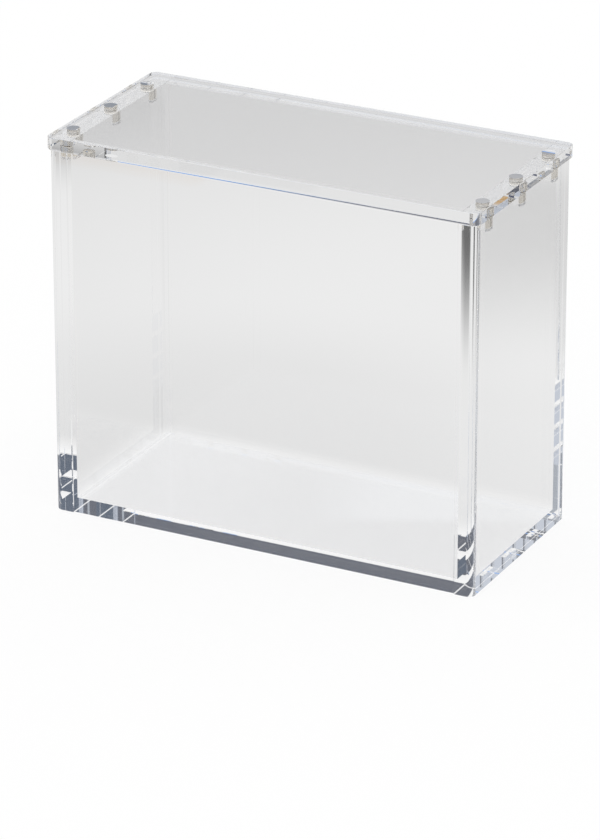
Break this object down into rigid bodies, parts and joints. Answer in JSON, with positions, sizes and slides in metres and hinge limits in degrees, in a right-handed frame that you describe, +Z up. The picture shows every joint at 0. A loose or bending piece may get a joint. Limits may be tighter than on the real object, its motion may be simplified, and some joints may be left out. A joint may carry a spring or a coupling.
{
  "type": "trading card display case",
  "caption": "Clear acrylic display case: a bonded box, open at the top, with a flat lift-off lid held down by small disc magnets in the side walls.",
  "frame": {"origin": "middle of the underside, on the surface that the case stands on", "axes": "+Z up, out of the lid; +X to the right along the front window; +Y from the front window to the back one"},
  "size_m": [0.21, 0.0984, 0.1786],
  "materials": {
    "clear_acrylic": "clear cast acrylic, polished",
    "magnet_nickel": "bright nickel plate"
  },
  "bodies": {
    "case": {"base_panel": "clear_acrylic", "front_panel": "clear_acrylic", "back_panel": "clear_acrylic", "left_side_panel": "clear_acrylic", "right_side_panel": "clear_acrylic", "wall_magnet_left_front": "magnet_nickel", "wall_magnet_left_middle": "magnet_nickel", "wall_magnet_left_back": "magnet_nickel", "wall_magnet_right_front": "magnet_nickel", "wall_magnet_right_middle": "magnet_nickel", "wall_magnet_right_back": "magnet_nickel"},
    "lid": {"lid_panel": "clear_acrylic", "lid_magnet_left_front": "magnet_nickel", "lid_magnet_left_middle": "magnet_nickel", "lid_magnet_left_back": "magnet_nickel", "lid_magnet_right_front": "magnet_nickel", "lid_magnet_right_middle": "magnet_nickel", "lid_magnet_right_back": "magnet_nickel"}
  },
  "joints": [
    {"name": "lid_lift", "type": "slide", "parent": "case", "child": "lid", "axis": [0, 0, 1], "range_m": [0, 0.2]}
  ]
}
